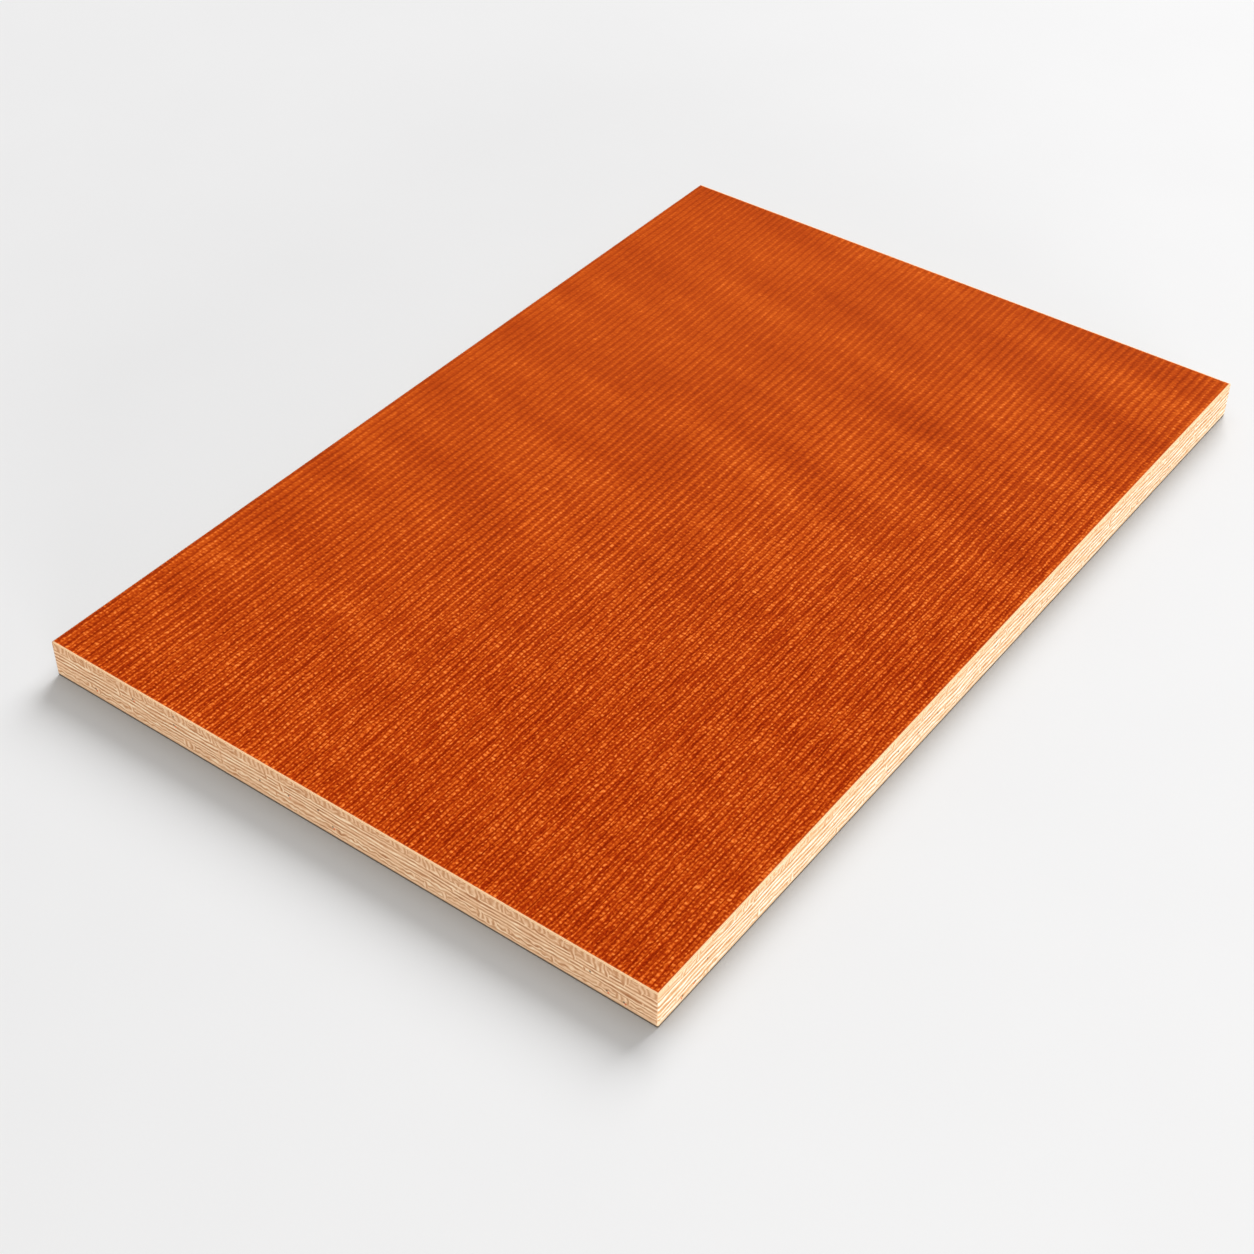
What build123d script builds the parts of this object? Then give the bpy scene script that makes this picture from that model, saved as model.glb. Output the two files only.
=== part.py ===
from build123d import *

import os

# Phenolic laminate sheet: resin-soaked cloth, pressed hot into one solid panel and sawn to size.
# It lies flat. The origin is at the middle of its underside, X runs along the length,
# Y across the width and Z up through the plies. All sizes are in millimetres.

# Driving dimensions
sheet_length = 300.0  # sawn length, along X
sheet_width = 200.0  # sawn width, along Y
sheet_thickness = 12.0  # pressed thickness, along Z
face_arris = 0.4  # chamfer where each face meets the four sawn edges
upright_arris = 0.25  # chamfer down the four upright corners

parts_folder = "parts"


def eased_outline(across, up, arris):
    """A rectangle about the origin with its four corners cut off by the arris."""
    outline = Rectangle(across, up)
    return chamfer(outline.vertices(), length=arris)


def plan_prism():
    """The sheet seen from above, raised to its thickness, with the upright corners eased."""
    outline = eased_outline(sheet_length, sheet_width, upright_arris)
    return extrude(outline, amount=sheet_thickness, dir=(0, 0, 1))


def section_prism(plane, across, run):
    """A section through the thickness, with the rims of both faces eased, drawn out along its run."""
    section = Pos(0, sheet_thickness / 2) * eased_outline(across, sheet_thickness, face_arris)
    return extrude(plane * section, amount=run / 2, both=True)


def laminate_sheet():
    """The finished sheet: one solid, where its plan and its two sections agree."""
    lengthwise = section_prism(Plane.XZ, sheet_length, sheet_width)
    crosswise = section_prism(Plane.YZ, sheet_width, sheet_length)
    return plan_prism() & lengthwise & crosswise


os.makedirs(parts_folder, exist_ok=True)
export_step(laminate_sheet(), os.path.join(parts_folder, "laminate_sheet.step"))
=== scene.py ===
"""Dresses the phenolic laminate sheet: woven faces, pale sawn plies and the studio that it lies in."""

import logging
import math
from dataclasses import dataclass, field
from enum import Enum

import bmesh
import bpy
from mathutils import Color, Matrix, Quaternion, Vector, noise


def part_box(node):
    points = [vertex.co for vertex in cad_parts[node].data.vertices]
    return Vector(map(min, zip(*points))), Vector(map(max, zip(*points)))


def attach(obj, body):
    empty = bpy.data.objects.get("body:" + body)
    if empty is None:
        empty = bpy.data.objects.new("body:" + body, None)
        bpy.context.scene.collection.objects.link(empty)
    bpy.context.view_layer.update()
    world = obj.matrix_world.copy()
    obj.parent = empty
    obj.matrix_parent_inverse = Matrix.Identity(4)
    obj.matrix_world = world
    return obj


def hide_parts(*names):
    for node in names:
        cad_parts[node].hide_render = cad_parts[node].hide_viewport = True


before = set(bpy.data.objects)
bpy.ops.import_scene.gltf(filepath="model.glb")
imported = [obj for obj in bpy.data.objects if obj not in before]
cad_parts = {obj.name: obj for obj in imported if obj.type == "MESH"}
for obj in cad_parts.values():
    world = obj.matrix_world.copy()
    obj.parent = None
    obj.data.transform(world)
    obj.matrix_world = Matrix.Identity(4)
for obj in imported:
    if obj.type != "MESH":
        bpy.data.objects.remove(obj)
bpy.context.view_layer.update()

SHEET_NODE = "laminate_sheet"
RIB_ATTRIBUTE = "rib"
TEXTURE_MAP = "OFBake"
MM = 0.001
TURN = 2.0 * math.pi

Feed = bpy.types.NodeSocket | float | tuple[float, ...]
Span = tuple[float, float]
Curve = tuple[tuple[float, float], ...]
Paint = tuple[float, float, float, float]

log = logging.getLogger("laminate_sheet")


class Dress(Enum):
    """The material slots of the sheet, in their order."""

    CLOTH = 0
    PLIES = 1


class Axis(Enum):
    """The three directions of the sheet's own frame."""

    LENGTH = 0
    WIDTH = 1
    THICKNESS = 2


@dataclass(frozen=True)
class Tone:
    """A colour as a picture shows it, each part from 0 to 255."""

    red: int
    green: int
    blue: int

    def linear(self) -> Paint:
        """The same colour as the shader's sockets take it, fully opaque."""
        shown = Color((self.red / 255.0, self.green / 255.0, self.blue / 255.0))
        return (*shown.from_srgb_to_scene_linear(), 1.0)


Tones = tuple[tuple[float, Tone], ...]


@dataclass(frozen=True)
class Grain:
    """Smooth noise: the size of its features along each axis, its finer layers and its strength."""

    lengths: tuple[float, float, float]
    detail: float = 2.0
    strength: float = 1.0


class NodeGraph:
    """The node tree of one material, laid down a node at a time."""

    def __init__(self, name: str) -> None:
        """Starts an empty tree in a new material of that name."""
        self.material = bpy.data.materials.new(name)
        self.material.use_nodes = True
        self.tree = self.material.node_tree
        self.tree.nodes.clear()

    def add(
        self, kind: str, inputs: dict[str | int, Feed] | None = None, **settings: object
    ) -> bpy.types.Node:
        """Adds one node and feeds its inputs.

        Args:
            kind: the shader node's type, without its common prefix.
            inputs: what goes into each input, either a socket to link or a constant.
            settings: the node's own settings.

        Returns:
            The new node.
        """
        node = self.tree.nodes.new("ShaderNode" + kind)
        for name, value in settings.items():
            setattr(node, name, value)
        for name, value in (inputs or {}).items():
            if isinstance(value, bpy.types.NodeSocket):
                self.tree.links.new(value, node.inputs[name])
            else:
                node.inputs[name].default_value = value
        return node

    def maths(self, operation: str, *feeds: Feed) -> bpy.types.NodeSocket:
        """One Math node.

        Args:
            operation: the node's operation.
            feeds: its operands, in order.

        Returns:
            The node's result.
        """
        return self.add("Math", dict(enumerate(feeds)), operation=operation).outputs[0]

    def scaled(self, value: Feed, factor: Feed, offset: Feed = 0.0) -> bpy.types.NodeSocket:
        """The value times the factor, plus the offset."""
        return self.maths("MULTIPLY_ADD", value, factor, offset)

    def total(self, first: Feed, *others: Feed) -> Feed:
        """The sum of all the values."""
        for other in others:
            first = self.maths("ADD", first, other)
        return first

    def wave(self, turns: Feed) -> bpy.types.NodeSocket:
        """A cosine that is 1 at whole turns and -1 halfway between them."""
        return self.maths("COSINE", self.scaled(turns, TURN))

    def rise(self, value: Feed, low: float, high: float) -> bpy.types.NodeSocket:
        """A smooth step from 0 at low to 1 at high, which may also run downwards."""
        limits = {"Value": value, "From Min": low, "From Max": high}
        return self.add("MapRange", limits, interpolation_type="SMOOTHSTEP").outputs["Result"]

    def profile(self, value: Feed, points: Curve) -> bpy.types.NodeSocket:
        """A curve of straight stretches.

        Args:
            value: where on the curve to read, from 0 to 1.
            points: the place and the height of each of its points, both from 0 to 1.

        Returns:
            The curve's height there.
        """
        return self.ramp(value, [(place, (height, height, height, 1.0)) for place, height in points])

    def shades(self, value: Feed, tones: Tones) -> bpy.types.NodeSocket:
        """The tone at a place, from 0 to 1, in a row of tones that run into each other."""
        return self.ramp(value, [(place, tone.linear()) for place, tone in tones])

    def ramp(self, value: Feed, stops: list[tuple[float, Paint]]) -> bpy.types.NodeSocket:
        """A row of colours that run into each other.

        Args:
            value: where in the row to read, from 0 to 1.
            stops: the place and the linear colour of each stop, in order.

        Returns:
            The colour there.
        """
        node = self.add("ValToRGB", {"Fac": value})
        elements = node.color_ramp.elements
        while len(elements) < len(stops):
            elements.new(1.0)
        for element, (place, colour) in zip(elements, stops):
            element.position = place
            element.color = colour
        return node.outputs["Color"]

    def blend(self, share: Feed, first: Feed, second: Feed) -> bpy.types.NodeSocket:
        """The first colour where the share is 0, the second where it is 1."""
        node = self.add("Mix", data_type="RGBA")
        for name, value in (("Factor_Float", share), ("A_Color", first), ("B_Color", second)):
            socket = next(each for each in node.inputs if each.identifier == name)
            if isinstance(value, bpy.types.NodeSocket):
                self.tree.links.new(value, socket)
            else:
                socket.default_value = value
        return next(each for each in node.outputs if each.identifier == "Result_Color")

    def between(self, share: Feed, first: Feed, second: Feed) -> bpy.types.NodeSocket:
        """The first number where the share is 0, the second where it is 1."""
        return self.maths("MULTIPLY_ADD", self.maths("SUBTRACT", second, first), share, first)

    def position(self) -> tuple[bpy.types.NodeSocket, ...]:
        """The object's own coordinates in millimetres: along the length, the width and the thickness."""
        place = self.add("TexCoord").outputs["Object"]
        axes = self.add("SeparateXYZ", {"Vector": place}).outputs
        return tuple(self.scaled(axis, 1.0 / MM) for axis in axes)

    def vector(self, along: Feed, across: Feed, up: Feed = 0.0) -> bpy.types.NodeSocket:
        """The three values as one vector."""
        return self.add("CombineXYZ", {"X": along, "Y": across, "Z": up}).outputs[0]

    def cloudy(self, place: Feed, grain: Grain, base: float = 0.0) -> bpy.types.NodeSocket:
        """Smooth noise about a base value.

        Args:
            place: where to read it.
            grain: the noise's sizes and strength.
            base: the value that it sways about.

        Returns:
            The noise, mostly within the grain's strength of the base.
        """
        scale = tuple(1.0 / length for length in grain.lengths)
        spot = self.add("Mapping", {"Vector": place, "Scale": scale}).outputs[0]
        inputs = {"Vector": spot, "Scale": 1.0, "Detail": grain.detail}
        level = self.add("TexNoise", inputs, noise_dimensions="3D").outputs["Fac"]
        return self.scaled(level, 4.0 * grain.strength, base - 2.0 * grain.strength)

    def chance(self, place: Feed) -> bpy.types.NodeSocket:
        """A random number from 0 to 1 of each whole place's own."""
        return self.add("TexWhiteNoise", {"Vector": place}, noise_dimensions="2D").outputs["Value"]

    def scattered(self, place: Feed) -> tuple[bpy.types.NodeSocket, bpy.types.NodeSocket]:
        """Points scattered at random, one to each unit square.

        Args:
            place: where to read them, in steps of their spacing.

        Returns:
            The distance to the nearest point, and that point's own random number.
        """
        inputs = {"Vector": place, "Scale": 1.0, "Randomness": 1.0}
        node = self.add("TexVoronoi", inputs, voronoi_dimensions="2D")
        colour = self.add("SeparateColor", {"Color": node.outputs["Color"]})
        return node.outputs["Distance"], colour.outputs[0]

    def surface(self, inputs: dict[str, Feed], height: Feed) -> bpy.types.Material:
        """Closes the tree with its shader.

        Args:
            inputs: what goes into the shader's inputs.
            height: the fine relief, in millimetres.

        Returns:
            The finished material.
        """
        bump = self.add("Bump", {"Height": height, "Distance": MM, "Strength": 1.0})
        shader = self.add("BsdfPrincipled", {**inputs, "Normal": bump.outputs["Normal"]})
        self.add("OutputMaterial", {"Surface": shader.outputs["BSDF"]})
        return self.material


@dataclass(frozen=True)
class ClothFinish:
    """The cloth of both faces: ribs of beaded strands under resin, bright orange on dark red."""

    length: float
    width: float
    name: str = "woven_cloth"
    tones: Tones = (
        (0.0, Tone(136, 31, 2)),
        (0.2, Tone(160, 45, 5)),
        (0.36, Tone(177, 57, 9)),
        (0.5, Tone(192, 71, 13)),
        (0.64, Tone(208, 86, 20)),
        (0.82, Tone(236, 110, 36)),
        (1.0, Tone(252, 138, 60)),
    )
    # painted sheen: a paler tone blended in towards the back corner of the face
    painted_sheen: Tone = Tone(222, 118, 46)
    worn_rim: Tone = Tone(232, 116, 46)
    bare_rim: Tone = Tone(255, 214, 168)
    rim_width: float = 0.5
    worn_width: float = 0.5
    worn_share: float = 0.5
    rim_blur: float = 0.06
    strands: float = 2.1
    strand_step: float = 5.3
    ridge_power: float = 0.7
    sunk_ridge: float = 0.57
    strand_sinking: float = 0.7
    bead_sinking: float = 0.6
    strand_veil: Span = (-95.0, 45.0)
    bead_veil: Span = (-30.0, 130.0)
    sheen_veil: Span = (-150.0, 150.0)
    sheen_share: float = 0.16
    glint_lots: Span = (0.965, 0.99)
    band_slant: float = -0.22
    sway: Grain = Grain((16.0, 2.6, 1.0), strength=0.1)
    kink: Grain = Grain((3.2, 0.6, 1.0), strength=0.06)
    uneven: Grain = Grain((6.5, 0.4, 1.0), strength=0.36)
    speckle: Grain = Grain((0.6, 1.0, 1.0), 1.0, 0.35)
    drift: Grain = Grain((5.0, 5.0, 1.0), 0.0, 0.4)
    liveliness: Grain = Grain((2.2, 1.0, 1.0), 1.0, 0.4)
    cloud: Grain = Grain((17.0, 70.0, 1.0), 1.0)
    crumb: Grain = Grain((0.6, 0.2, 1.0), 1.0)
    cross_threads: tuple[tuple[float, float, float], ...] = (
        (0.7, 0.17, 0.46), (0.47, 0.65, 0.33), (0.52, -0.32, 0.33), (0.92, -0.2, 0.3),
    )
    rib_contrast: Curve = (
        (0.09, 0.08), (0.25, 0.1), (0.33, 0.125), (0.41, 0.16), (0.5, 0.172),
        (0.57, 0.16), (0.65, 0.132), (0.73, 0.108), (0.85, 0.085),
    )
    roughness: float = 0.6
    shine: float = 0.004

    def material(self) -> bpy.types.Material:
        """The cloth's material, which follows the ribs by the sheet's own rib attribute."""
        graph = NodeGraph(self.name)
        along, sideways, _ = graph.position()
        across = graph.add("Attribute", attribute_name=RIB_ATTRIBUTE).outputs["Fac"]
        cloth = graph.vector(along, across)

        # Ribs that waver, with two uneven strands in each
        rib = graph.total(across, graph.cloudy(cloth, self.sway), graph.cloudy(cloth, self.kink))
        crest = graph.wave(rib)
        lane = graph.scaled(rib, self.strands, graph.cloudy(cloth, self.uneven))
        strand = graph.maths("ROUND", lane)
        sharp_ridge = graph.maths("POWER", graph.scaled(graph.wave(lane), 0.5, 0.5), self.ridge_power)

        # Resin lies thicker towards one corner: strands sink in it first, beads later
        reach = graph.total(along, sideways)
        veil = graph.rise(reach, *self.strand_veil)
        ridge = graph.between(graph.scaled(veil, self.strand_sinking), sharp_ridge, self.sunk_ridge)
        clear = graph.scaled(graph.rise(reach, *self.bead_veil), -self.bead_sinking, 1.0)

        # Beads on each strand, a few of them drawn paler as painted glints
        own = graph.vector(along, graph.scaled(strand, self.strand_step))
        beaded = graph.maths("MULTIPLY", self.beading(graph, along, sideways, own), clear)
        pearl = graph.maths("MULTIPLY", ridge, graph.scaled(beaded, 0.5, 0.5))
        raised = graph.maths("MULTIPLY", pearl, graph.cloudy(own, self.liveliness, 1.0))
        bead = graph.vector(graph.maths("ROUND", graph.scaled(along, self.cross_threads[0][0])), strand)
        # painted glints: a few beads lifted to the palest tones, as highlights
        bright = graph.maths("MULTIPLY", graph.rise(graph.chance(bead), *self.glint_lots), raised)

        # Bands across the ribs, and the crumb of fibres
        slanted = graph.vector(graph.scaled(sideways, self.band_slant, along), sideways)
        band = graph.maths("MULTIPLY", graph.cloudy(slanted, self.cloud), graph.scaled(veil, 0.05, 0.07))
        crumb = graph.maths("MULTIPLY", graph.cloudy(cloth, self.crumb), graph.scaled(veil, -0.8, 1.0))
        span = (self.length + self.width) / MM
        depth_of_rib = graph.profile(graph.scaled(reach, 1.0 / span, 0.5), self.rib_contrast)
        of_strand = graph.add("TexWhiteNoise", {"W": strand}, noise_dimensions="1D").outputs["Value"]

        depth = graph.total(
            graph.scaled(crest, depth_of_rib, 0.15),
            graph.scaled(ridge, 0.2),
            graph.scaled(raised, 0.6),
            graph.scaled(crumb, 0.22),
            graph.scaled(bright, 0.22),
            graph.scaled(of_strand, 0.03),
            band,
        )
        # Painted sheen: the face is drawn paler and more orange towards the back corner, as gloss looks
        # at a grazing view
        sheen_amount = graph.scaled(graph.rise(reach, *self.sheen_veil), self.sheen_share)
        colour = graph.blend(sheen_amount, graph.shades(depth, self.tones), self.painted_sheen.linear())
        height = graph.total(
            graph.scaled(raised, 0.05),
            graph.scaled(ridge, 0.04),
            graph.scaled(crumb, 0.014),
        )
        inputs = {
            "Base Color": self.rimmed(graph, along, sideways, colour),
            "Roughness": graph.scaled(depth, -0.12, self.roughness + 0.06),
            "Specular IOR Level": self.shine,
        }
        return graph.surface(inputs, height)

    def beading(self, graph: NodeGraph, along: Feed, sideways: Feed, own: Feed) -> Feed:
        """Where a strand passes over the threads that slant across it.

        Args:
            graph: the cloth's tree.
            along: the place along the length.
            sideways: the place across the width.
            own: the place along the length, with the strand's own number.

        Returns:
            A value that is high on a bead and low beside it.
        """
        beading = graph.cloudy(own, self.speckle)
        for order, (run, slant, strength) in enumerate(self.cross_threads):
            spot = graph.vector(along, sideways, 7.0 * order)
            drift = graph.cloudy(spot, self.drift)
            thread = graph.scaled(along, run, graph.scaled(sideways, slant, drift))
            beading = graph.scaled(graph.wave(thread), strength, beading)
        return beading

    def rimmed(self, graph: NodeGraph, along: Feed, sideways: Feed, colour: Feed) -> Feed:
        """Paints the rim, worn by handling and bared by the saw, except along the back.

        Args:
            graph: the cloth's tree.
            along: the place along the length.
            sideways: the place across the width.
            colour: the cloth's colour.

        Returns:
            The colour with the rim.
        """
        end_inset = graph.maths("SUBTRACT", self.length / 2.0 / MM, graph.maths("ABSOLUTE", along))
        front_inset = graph.total(sideways, self.width / 2.0 / MM)
        inset = graph.maths("MINIMUM", end_inset, front_inset)
        worn = graph.rise(inset, self.rim_width + self.worn_width, self.rim_width)
        bare = graph.rise(inset, self.rim_width + self.rim_blur, self.rim_width - self.rim_blur)
        colour = graph.blend(graph.scaled(worn, self.worn_share), colour, self.worn_rim.linear())
        return graph.blend(bare, colour, self.bare_rim.linear())


@dataclass(frozen=True)
class PlyFinish:
    """The sawn edges: straw-coloured plies seen end on, under a pale arris and above a dark band of
    painted contact shadow at their foot.
    """

    width: float
    thickness: float
    name: str = "sawn_plies"
    end_tones: Tones = (
        (0.0, Tone(172, 112, 70)),
        (0.25, Tone(203, 150, 107)),
        (0.5, Tone(227, 181, 140)),
        (0.75, Tone(245, 206, 167)),
        (1.0, Tone(255, 231, 196)),
    )
    # paler than the end tones: partly the long edges' own colour, partly painted light
    side_tones: Tones = (
        (0.0, Tone(210, 148, 96)),
        (0.25, Tone(228, 179, 130)),
        (0.5, Tone(238, 199, 156)),
        (0.75, Tone(249, 224, 190)),
        (1.0, Tone(255, 248, 230)),
    )
    arris: Tone = Tone(255, 214, 168)
    back_arris: Tone = Tone(186, 122, 72)
    # painted contact shadow: the dark band drawn along the foot of the edges
    painted_contact_shadow: Tone = Tone(96, 84, 72)
    dark_speck: Tone = Tone(84, 70, 60)
    rusty_speck: Tone = Tone(228, 98, 44)
    dull: Tone = Tone(138, 117, 88)
    line_pitch: float = 1.28
    side_line_pitch: float = 1.62
    stroke_pitch: float = 1.6
    speck_spacing: float = 5.0
    side_calm: float = -0.55
    side_contrast: float = 0.3
    arris_start: Span = (0.976, 0.984)
    contact_shadow_band: Span = (0.075, 0.058)
    speck_size: Span = (0.08, 0.04)
    zone_drift: Grain = Grain((10.0, 10.0, 6.0), 1.0, 0.04)
    sway: Grain = Grain((24.0, 24.0, 6.0), 1.0, 0.32)
    fork: Grain = Grain((9.0, 9.0, 1.6), 1.0, 0.22)
    tear: Grain = Grain((1.9, 1.9, 1.5), 0.0)
    fading: Grain = Grain((3.6, 3.6, 0.9), 1.0, 0.6)
    swirl: Grain = Grain((2.4, 2.4, 2.8), 0.5, 0.5)
    patches: Grain = Grain((2.4, 2.4, 3.0), 0.0)
    fibre: Grain = Grain((0.8, 0.8, 0.5), 2.0)
    roughness: float = 0.7
    shine: float = 0.15
    torn: Curve = (
        (0.1, 0.1), (0.16, 0.24), (0.34, 0.22), (0.46, 0.05), (0.72, 0.05), (0.8, 0.28),
    )
    upright: Curve = (
        (0.1, 0.0), (0.2, 0.2), (0.32, 0.2), (0.42, 0.0), (0.74, 0.1), (0.84, 0.75),
    )
    contrast: Curve = (
        (0.09, 0.25), (0.15, 0.75), (0.4, 0.8), (0.5, 0.95), (0.74, 0.95), (0.84, 0.5),
    )
    lightness: Curve = (
        (0.05, 0.61), (0.13, 0.55), (0.5, 0.52), (0.74, 0.5), (0.84, 0.42),
    )

    def material(self) -> bpy.types.Material:
        """The material of the sawn edges, which follows the height above the underside."""
        graph = NodeGraph(self.name)
        along, across, up = graph.position()
        place = graph.vector(along, across, up)
        share = graph.maths("DIVIDE", up, self.thickness / MM)

        # Long ply lines that sway and fork, and break into dashes where the saw tore the threads
        half_width = self.width / 2.0 / MM
        at_side = graph.rise(graph.maths("ABSOLUTE", across), half_width - 0.3, half_width - 0.2)
        wildness = graph.scaled(at_side, self.side_calm, 1.0)
        zone = graph.total(share, graph.cloudy(place, self.zone_drift))
        torn = graph.maths("MULTIPLY", graph.profile(zone, self.torn), wildness)
        lines_per_mm = graph.between(at_side, 1.0 / self.line_pitch, 1.0 / self.side_line_pitch)
        turns = graph.total(
            graph.maths("MULTIPLY", up, lines_per_mm),
            graph.cloudy(place, self.sway),
            graph.cloudy(place, self.fork),
            graph.maths("MULTIPLY", graph.cloudy(place, self.tear), torn),
        )
        line = graph.maths("MULTIPLY", graph.wave(turns), graph.cloudy(place, self.fading, 0.8))

        # Strokes across the plies, a little bent, in patches
        round_edge = graph.total(along, across)
        swirl = graph.cloudy(place, self.swirl)
        stroke = graph.wave(graph.scaled(round_edge, 1.0 / self.stroke_pitch, swirl))
        upright = graph.maths("MULTIPLY", graph.profile(zone, self.upright), wildness)
        crossing = graph.total(graph.cloudy(place, self.patches), graph.scaled(upright, 1.9, -1.1))
        weave = graph.between(graph.rise(crossing, -0.15, 0.15), line, graph.scaled(stroke, 0.8))

        # Darker and lighter plies, in the tones of the short or of the long edges; the long edges' paler
        # tones are partly their own and partly painted light for their brighter lighting
        at_height = graph.profile(share, self.contrast)
        contrast = graph.maths("MULTIPLY", at_height, graph.scaled(at_side, self.side_contrast, 1.0))
        drawn = graph.maths("MULTIPLY", weave, contrast)
        fibre = graph.cloudy(place, self.fibre)
        level = graph.total(
            graph.profile(share, self.lightness),
            graph.scaled(drawn, 0.5),
            graph.scaled(fibre, 0.07),
        )
        end_colour = graph.shades(level, self.end_tones)
        colour = graph.blend(at_side, end_colour, graph.shades(level, self.side_tones))
        colour = self.specked(graph, round_edge, up, colour)

        # The upper arris, pale except along the back, and the dark band at the foot, which is painted
        # contact shadow where the edges meet the floor
        at_back = graph.rise(across, half_width - 0.5, half_width - 0.42)
        arris = graph.blend(at_back, self.arris.linear(), self.back_arris.linear())
        colour = graph.blend(graph.rise(share, *self.arris_start), colour, arris)
        colour = graph.blend(graph.rise(share, *self.contact_shadow_band), colour, self.painted_contact_shadow.linear())

        # The floor meets the edges duller than they are, so that they throw no glow on it
        met_by_floor = graph.add("LightPath").outputs["Is Diffuse Ray"]
        colour = graph.blend(met_by_floor, colour, self.dull.linear())

        height = graph.total(graph.scaled(drawn, 0.02), graph.scaled(fibre, 0.008))
        inputs = {
            "Base Color": colour,
            "Roughness": graph.scaled(level, -0.1, self.roughness + 0.05),
            "Specular IOR Level": self.shine,
        }
        return graph.surface(inputs, height)

    def specked(self, graph: NodeGraph, round_edge: Feed, up: Feed, colour: Feed) -> Feed:
        """Paints a few specks of dirt, some with rust beside them.

        Args:
            graph: the edges' tree.
            round_edge: the place along an edge.
            up: the height above the underside.
            colour: the plies' colour.

        Returns:
            The colour with the specks.
        """
        steps = graph.scaled(round_edge, 1.0 / self.speck_spacing)
        for shift, limit, tone in ((0.09, 0.92, self.rusty_speck), (0.0, 0.89, self.dark_speck)):
            level = graph.scaled(up, 1.0 / self.speck_spacing, shift)
            distance, chance = graph.scattered(graph.vector(graph.total(steps, shift), level))
            present = graph.rise(chance, limit, limit + 0.01)
            speck = graph.maths("MULTIPLY", graph.rise(distance, *self.speck_size), present)
            colour = graph.blend(graph.scaled(speck, 0.85), colour, tone.linear())
        return colour


@dataclass(frozen=True)
class FloorFinish:
    """A plain floor, graded from pale grey to near white as painted light, brighter towards the front
    and right, that fades into the backdrop far off.
    """

    name: str = "studio_floor"
    pale: Tone = Tone(232, 233, 235)
    paler: Tone = Tone(244, 245, 247)
    painted_light_grading: Span = (0.15, -0.98)
    reach: float = 360.0
    fade: Span = (4200.0, 1200.0)
    cloud: Grain = Grain((60.0, 60.0, 60.0), 3.0, 0.06)
    grit: Grain = Grain((1.2, 1.2, 1.2), 2.0, 0.004)
    roughness: float = 0.9

    def material(self) -> bpy.types.Material:
        """The floor's material."""
        graph = NodeGraph(self.name)
        along, across, up = graph.position()
        place = graph.vector(along, across, up)
        # Painted light: the floor is drawn paler towards the front and right, as if lit more there, with
        # a faint mottle
        towards_painted_light = graph.scaled(along, self.painted_light_grading[0], graph.scaled(across, self.painted_light_grading[1]))
        painted_light_and_mottle = graph.total(
            graph.rise(towards_painted_light, -self.reach, self.reach),
            graph.cloudy(place, self.cloud),
        )
        distance = graph.add("VectorMath", {0: place}, operation="LENGTH").outputs["Value"]
        inputs = {
            "Base Color": graph.shades(painted_light_and_mottle, ((0.0, self.pale), (1.0, self.paler))),
            "Roughness": self.roughness,
            "Specular IOR Level": 0.0,
            "Alpha": graph.rise(distance, *self.fade),
        }
        return graph.surface(inputs, graph.cloudy(place, self.grit))


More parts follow.
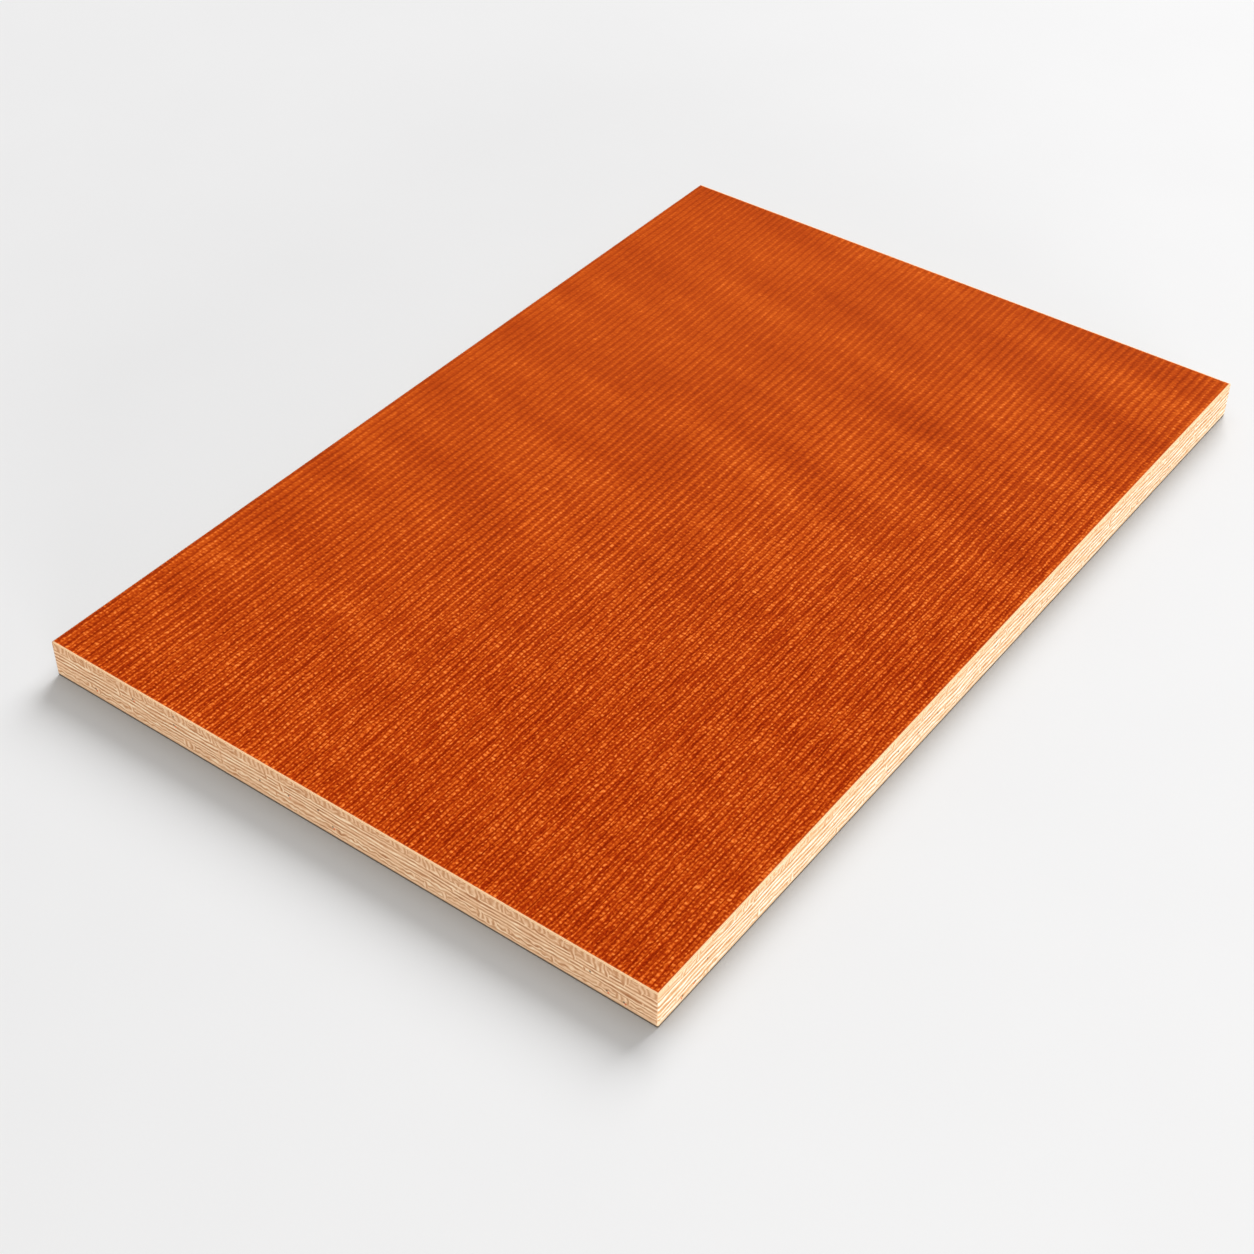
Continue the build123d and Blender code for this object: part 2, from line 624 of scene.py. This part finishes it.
@dataclass
class LaminateSheet:
    """The sheet itself: one closed mesh, ribbed on both faces, that stands for the solid panel."""

    low: Vector
    high: Vector
    arris: float = 0.4 * MM
    support: float = 0.5 * MM
    arris_steps: int = 3
    ribs: int = 78
    columns_per_rib: int = 5
    rows: int = 98
    levels: int = 8
    rib_depth: float = 0.17 * MM
    first_rib: float = 0.62
    lean: float = 0.024
    stray: float = 0.45 * MM
    stray_length: float = 55.0 * MM
    uneven_length: float = 8.0 * MM

    @property
    def size(self) -> Vector:
        """Length, width and thickness."""
        return self.high - self.low

    @property
    def half_weave(self) -> float:
        """Half the width of the woven face, inside the arrises."""
        return self.size.y / 2.0 - self.arris

    def build(self) -> bpy.types.Object:
        """Makes the sheet's mesh and its object, and dresses it.

        Returns:
            The finished piece.
        """
        shape = bmesh.new()
        self.block(shape)
        self.divide(shape)
        self.part_faces(shape)
        self.lay_texture_map(shape)
        self.weave(shape)
        mesh = bpy.data.meshes.new(SHEET_NODE + "_woven")
        shape.to_mesh(mesh)
        shape.free()
        mesh.shade_smooth()
        piece = bpy.data.objects.new(SHEET_NODE + "_woven", mesh)
        bpy.context.scene.collection.objects.link(piece)
        self.dress(piece)
        return piece

    def block(self, shape: bmesh.types.BMesh) -> None:
        """Makes the plain panel with rounded arrises.

        Args:
            shape: the mesh to make it in.
        """
        bmesh.ops.create_cube(shape, size=1.0)
        bmesh.ops.scale(shape, vec=self.size, verts=shape.verts)
        bmesh.ops.translate(shape, vec=(self.low + self.high) / 2.0, verts=shape.verts)
        bmesh.ops.bevel(
            shape, geom=shape.edges[:], offset=self.arris, offset_type="OFFSET", affect="EDGES",
            segments=self.arris_steps, profile=0.5, material=-1, clamp_overlap=True,
        )

    def divide(self, shape: bmesh.types.BMesh) -> None:
        """Cuts the panel into rows along the ribs, columns across them and levels up the edges.

        Args:
            shape: the plain panel.
        """
        for axis in (Axis.LENGTH, Axis.THICKNESS):
            for end, sign in ((self.low, 1.0), (self.high, -1.0)):
                normal = Vector([float(each is axis) for each in Axis])
                cut = end + normal * sign * (self.arris + self.support)
                everything = shape.verts[:] + shape.edges[:] + shape.faces[:]
                bmesh.ops.bisect_plane(shape, geom=everything, plane_co=cut, plane_no=normal, dist=1e-7)
        counts = {
            Axis.LENGTH: self.rows,
            Axis.WIDTH: self.ribs * self.columns_per_rib,
            Axis.THICKNESS: self.levels,
        }
        for axis, count in counts.items():
            long_edges = [edge for edge in shape.edges if self.runs_along(edge, axis)]
            bmesh.ops.subdivide_edges(shape, edges=long_edges, cuts=count - 1, use_grid_fill=True)

    def runs_along(self, edge: bmesh.types.BMEdge, axis: Axis) -> bool:
        """Whether an edge runs along the axis for more than half of the sheet."""
        start, end = (vert.co for vert in edge.verts)
        span = end - start
        return abs(span[axis.value]) > max(self.size[axis.value] / 2.0, 0.99 * span.length)

    def part_faces(self, shape: bmesh.types.BMesh) -> None:
        """Gives the two flat faces the cloth, and the arrises and edges the plies."""
        for face in shape.faces:
            level = abs(face.normal.z) > 0.99
            face.material_index = (Dress.CLOTH if level else Dress.PLIES).value

    def lay_texture_map(self, shape: bmesh.types.BMesh) -> None:
        """Lays out the map for baked textures: both faces on one field, each edge on a strip below it.

        Args:
            shape: the divided panel, still flat.
        """
        layer = shape.loops.layers.uv.new(TEXTURE_MAP)
        margin, strip, gap = 0.004, 0.042, 0.006
        field_foot = 4.0 * (strip + gap) + gap
        rim = self.arris / self.size.z
        for face in shape.faces:
            across = max((Axis.LENGTH, Axis.WIDTH), key=lambda axis: abs(face.normal[axis.value]))
            ahead = face.normal[across.value] > 0.0
            order = 2 * across.value + int(ahead)
            for loop in face.loops:
                share = [(loop.vert.co[i] - self.low[i]) / self.size[i] for i in range(3)]
                if face.material_index == Dress.CLOTH.value:
                    u = share[0]
                    v = field_foot + (1.0 - margin - field_foot) * share[1]
                else:
                    u = share[1 - across.value]
                    reach = min(share[across.value], 1.0 - share[across.value]) * self.size[across.value]
                    outward = reach / self.size.z * (1.0 if share[2] > 0.5 else -1.0)
                    lift = (share[2] + outward + rim) / (1.0 + 2.0 * rim)
                    v = gap + order * (strip + gap) + strip * lift
                loop[layer].uv = (margin + (1.0 - 2.0 * margin) * u, v)

    def weave(self, shape: bmesh.types.BMesh) -> None:
        """Lets the columns follow the cloth's ribs and presses the valleys between them into both faces.

        Args:
            shape: the divided panel, which has flat faces until now.
        """
        layer = shape.verts.layers.float.new(RIB_ATTRIBUTE)
        centre = (self.low + self.high) / 2.0
        pitch = 2.0 * self.half_weave / self.ribs
        for vert in shape.verts:
            across = vert.co.y - centre.y
            rib = (across + self.half_weave) / pitch + self.first_rib
            vert[layer] = rib
            if abs(across) >= self.half_weave:
                continue
            along = vert.co.x - centre.x
            vert.co.y += self.straying(along, across)
            above = vert.co.z > centre.z
            rim = self.high.z - vert.co.z if above else vert.co.z - self.low.z
            near_face = max(0.0, 1.0 - rim / self.arris)
            inset = min(self.size.x / 2.0 - self.arris - abs(along), self.half_weave - abs(across))
            held = min(1.0, max(0.0, inset / self.support))
            valley = near_face * held * self.valley(along, rib)
            vert.co.z += -valley if above else valley

    def straying(self, along: float, across: float) -> float:
        """How far the cloth strays sideways from a straight course.

        Args:
            along: the place along the length, from the middle.
            across: the place across the width, from the middle.

        Returns:
            The shift across the width, which dies away at both long rims.
        """
        side = across / self.half_weave
        held = 1.0 - side * side
        slanted = self.lean * along * held * (1.0 + side)
        spot = Vector((along, across, 0.0)) / self.stray_length
        return slanted + self.stray * held * noise.noise(spot)

    def valley(self, along: float, rib: float) -> float:
        """How far the face lies below the ribs' crests.

        Args:
            along: the place along the length, from the middle.
            rib: the place across the cloth, counted in ribs.

        Returns:
            The depth, none on a crest.
        """
        uneven = 1.0 + 0.35 * noise.noise(Vector((along / self.uneven_length, 0.7 * rib, 3.0)))
        return self.rib_depth * uneven * (1.0 - math.cos(TURN * rib)) / 2.0

    def dress(self, piece: bpy.types.Object) -> None:
        """Gives the sheet its two finishes and its place in the frame.

        Args:
            piece: the sheet's object.
        """
        cloth = ClothFinish(length=self.size.x, width=self.size.y)
        plies = PlyFinish(width=self.size.y, thickness=self.size.z)
        piece.data.materials.append(cloth.material())
        piece.data.materials.append(plies.material())
        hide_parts(SHEET_NODE)
        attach(piece, "root")


@dataclass(frozen=True)
class Lamp:
    """One soft lamp that looks at the sheet from afar."""

    name: str
    bearing: tuple[float, float, float]
    distance: float
    width: float
    height: float
    power: float

    def hang(self) -> bpy.types.Object:
        """Hangs the lamp in its place, turned towards the sheet.

        Returns:
            The lamp's object.
        """
        lamp = bpy.data.lights.new(self.name, "AREA")
        lamp.shape = "ELLIPSE"
        lamp.size = self.width
        lamp.size_y = self.height
        lamp.energy = self.power
        bearing = Vector(self.bearing).normalized()
        piece = bpy.data.objects.new(self.name, lamp)
        piece.location = bearing * self.distance
        piece.rotation_euler = (-bearing).to_track_quat("-Z", "Y").to_euler()
        bpy.context.scene.collection.objects.link(piece)
        return piece


@dataclass
class Studio:
    """The pale floor, the soft light and the camera."""

    floor_reach: float = 10.0
    key: Lamp = Lamp("key_lamp", (0.78, 0.12, 0.60), 7.0, 5.0, 5.0, 450.0)
    top: Lamp = Lamp("top_lamp", (0.05, 0.0, 1.0), 5.0, 6.0, 6.0, 72.0)
    fill: Lamp = Lamp("fill_lamp", (-0.55, -0.83, 0.06), 12.0, 7.6, 1.2, 1104.0)
    sky_strength: float = 0.28
    sky_tint: Paint = (1.0, 0.955, 0.89, 1.0)
    backdrop_tint: Paint = (1.0, 1.0, 1.0, 1.0)
    backdrop_strength: float = 1.0
    camera_place: Vector = field(default_factory=lambda: Vector((-411.62, -283.44, 402.84)) * MM)
    camera_aim: Vector = field(default_factory=lambda: Vector((-53.14, -19.07, 12.0)) * MM)
    camera_roll: float = math.radians(0.35)
    lens: float = 63.31
    floor_finish: FloorFinish = field(default_factory=FloorFinish)

    def build(self) -> None:
        """Sets up the whole studio."""
        self.lay_floor()
        for lamp in (self.key, self.top, self.fill):
            lamp.hang()
        self.light_world()
        self.set_camera()
        bpy.context.scene.view_settings.view_transform = "Standard"

    def lay_floor(self) -> bpy.types.Object:
        """Lays the floor that the sheet rests on.

        Returns:
            The floor's object.
        """
        shape = bmesh.new()
        bmesh.ops.create_grid(shape, x_segments=1, y_segments=1, size=self.floor_reach / 2.0)
        mesh = bpy.data.meshes.new("floor")
        shape.to_mesh(mesh)
        shape.free()
        mesh.materials.append(self.floor_finish.material())
        floor = bpy.data.objects.new("floor", mesh)
        bpy.context.scene.collection.objects.link(floor)
        return floor

    def light_world(self) -> None:
        """Makes the even light from all round, and the white backdrop that the eye and gloss see."""
        world = bpy.data.worlds.new("studio_sky")
        world.use_nodes = True
        tree = world.node_tree
        tree.nodes.clear()
        path = tree.nodes.new("ShaderNodeLightPath")
        seen = path.outputs["Is Camera Ray"]
        for kind in ("Is Glossy Ray", "Is Transmission Ray"):
            either = tree.nodes.new("ShaderNodeMath")
            either.operation = "MAXIMUM"
            tree.links.new(seen, either.inputs[0])
            tree.links.new(path.outputs[kind], either.inputs[1])
            seen = either.outputs[0]
        sky = tree.nodes.new("ShaderNodeBackground")
        sky.inputs["Color"].default_value = self.sky_tint
        sky.inputs["Strength"].default_value = self.sky_strength
        backdrop = tree.nodes.new("ShaderNodeBackground")
        backdrop.inputs["Color"].default_value = self.backdrop_tint
        backdrop.inputs["Strength"].default_value = self.backdrop_strength
        choice = tree.nodes.new("ShaderNodeMixShader")
        output = tree.nodes.new("ShaderNodeOutputWorld")
        tree.links.new(seen, choice.inputs["Fac"])
        tree.links.new(sky.outputs["Background"], choice.inputs[1])
        tree.links.new(backdrop.outputs["Background"], choice.inputs[2])
        tree.links.new(choice.outputs["Shader"], output.inputs["Surface"])
        bpy.context.scene.world = world

    def set_camera(self) -> bpy.types.Object:
        """Sets up the camera.

        Returns:
            The camera's object.
        """
        data = bpy.data.cameras.new("camera")
        data.lens = self.lens
        data.clip_start = 0.01
        camera = bpy.data.objects.new("camera", data)
        look = (self.camera_aim - self.camera_place).to_track_quat("-Z", "Y")
        turn = look @ Quaternion((0.0, 0.0, 1.0), self.camera_roll)
        camera.matrix_world = Matrix.Translation(self.camera_place) @ turn.to_matrix().to_4x4()
        bpy.context.scene.collection.objects.link(camera)
        bpy.context.scene.camera = camera
        return camera


def main() -> None:
    """Builds the sheet and the studio, and reports each piece."""
    logging.basicConfig(level=logging.INFO, format="%(name)s: %(message)s")
    sheet = LaminateSheet(*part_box(SHEET_NODE))
    piece = sheet.build()
    piece.data.calc_loop_triangles()
    log.info("%s has %d triangles", piece.name, len(piece.data.loop_triangles))
    Studio().build()
    log.info("studio is set up")


if __name__ == "__main__":
    main()
